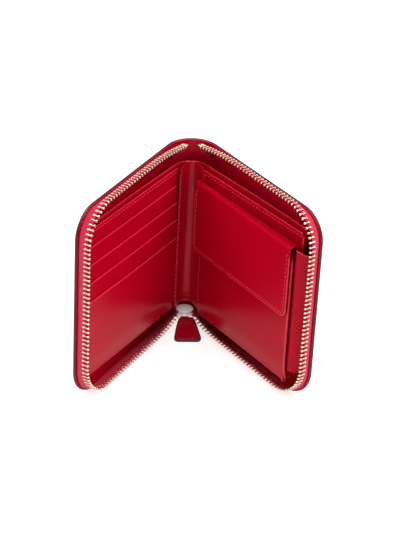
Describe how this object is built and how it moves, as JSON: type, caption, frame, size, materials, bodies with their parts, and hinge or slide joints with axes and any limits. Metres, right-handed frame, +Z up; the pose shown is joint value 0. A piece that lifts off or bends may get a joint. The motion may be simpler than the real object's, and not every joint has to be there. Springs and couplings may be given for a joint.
{
  "type": "zip around wallet",
  "caption": "Compact zip-around leather wallet standing open, with card slots on one half, a flap coin pocket on the other, metal zip and leather pull.",
  "frame": {"origin": "bottom edge of the spine, in the middle of the cover leather, on the plane the wallet stands on", "axes": "+Z up along the spine, the wallet opens towards -Y, +X to the coin-pocket half"},
  "size_m": [0.1226, 0.0941, 0.1154],
  "materials": {
    "cover_leather": "smooth glazed red leather with a dark painted edge",
    "lining_leather": "smooth semi-gloss red leather",
    "stiffener_board": "hidden fibre board",
    "zip_tape": "woven herringbone tape",
    "zip_teeth": "polished pale gold",
    "booklet_leather": "smooth semi-gloss red leather",
    "flap_leather": "smooth semi-gloss red leather",
    "magnet": "nickel-plated disc",
    "slider_metal": "satin nickel",
    "pull_leather": "red leather with a dark painted edge"
  },
  "bodies": {
    "spine": {"spine_cover": "cover_leather", "spine_lining": "lining_leather", "booklet_spine": "booklet_leather", "zip_tail": "zip_tape", "bottom_stop": "zip_teeth"},
    "left_half": {"left_cover": "cover_leather", "left_stiffener": "stiffener_board", "left_lining": "lining_leather", "left_zip_tape": "zip_tape", "left_zip_teeth": "zip_teeth", "left_top_stop": "zip_teeth", "left_note_divider": "booklet_leather", "left_note_floor": "booklet_leather", "left_side_gusset": "booklet_leather", "card_panel": "booklet_leather", "card_slot_1": "booklet_leather", "card_slot_2": "booklet_leather", "card_slot_3": "booklet_leather", "card_slot_4": "booklet_leather"},
    "right_half": {"right_cover": "cover_leather", "right_stiffener": "stiffener_board", "right_lining": "lining_leather", "right_zip_tape": "zip_tape", "right_zip_teeth": "zip_teeth", "right_top_stop": "zip_teeth", "right_note_divider": "booklet_leather", "right_note_floor": "booklet_leather", "right_side_gusset": "booklet_leather", "coin_pocket_back": "booklet_leather", "coin_pocket_front": "booklet_leather", "coin_pocket_floor": "booklet_leather", "coin_pocket_seam": "booklet_leather", "coin_gusset": "booklet_leather", "pocket_magnet": "magnet"},
    "coin_flap": {"coin_flap": "flap_leather", "coin_flap_lining": "flap_leather", "flap_magnet": "magnet"},
    "slider": {"slider_body": "slider_metal", "slider_crown": "slider_metal"},
    "pull": {"pull_ring": "slider_metal", "pull_tab_top": "pull_leather", "pull_tab_bottom": "pull_leather"}
  },
  "joints": [
    {"name": "left_half_hinge", "type": "hinge", "parent": "spine", "child": "left_half", "pos_m": [-0.01179, -0.00653, 0], "axis": [0, 0, 1], "range_deg": [-28, 32]},
    {"name": "right_half_hinge", "type": "hinge", "parent": "spine", "child": "right_half", "pos_m": [0.01179, -0.00653, 0], "axis": [0, 0, -1], "range_deg": [-28, 32]},
    {"name": "coin_flap_hinge", "type": "hinge", "parent": "right_half", "child": "coin_flap", "pos_m": [0.02565, -0.0474, 0.09275], "axis": [0.5299, -0.848, 0], "range_deg": [-150, 0], "deforming": ["coin_flap", "coin_flap_lining"]},
    {"name": "slider_slide", "type": "slide", "parent": "spine", "child": "slider", "axis": [0, -0.9992, -0.04], "range_m": [0, 0.07]},
    {"name": "pull_hinge", "type": "hinge", "parent": "slider", "child": "pull", "pos_m": [0, -0.0044, 0.00515], "axis": [-1, 0, 0], "range_deg": [-85, 0]}
  ]
}
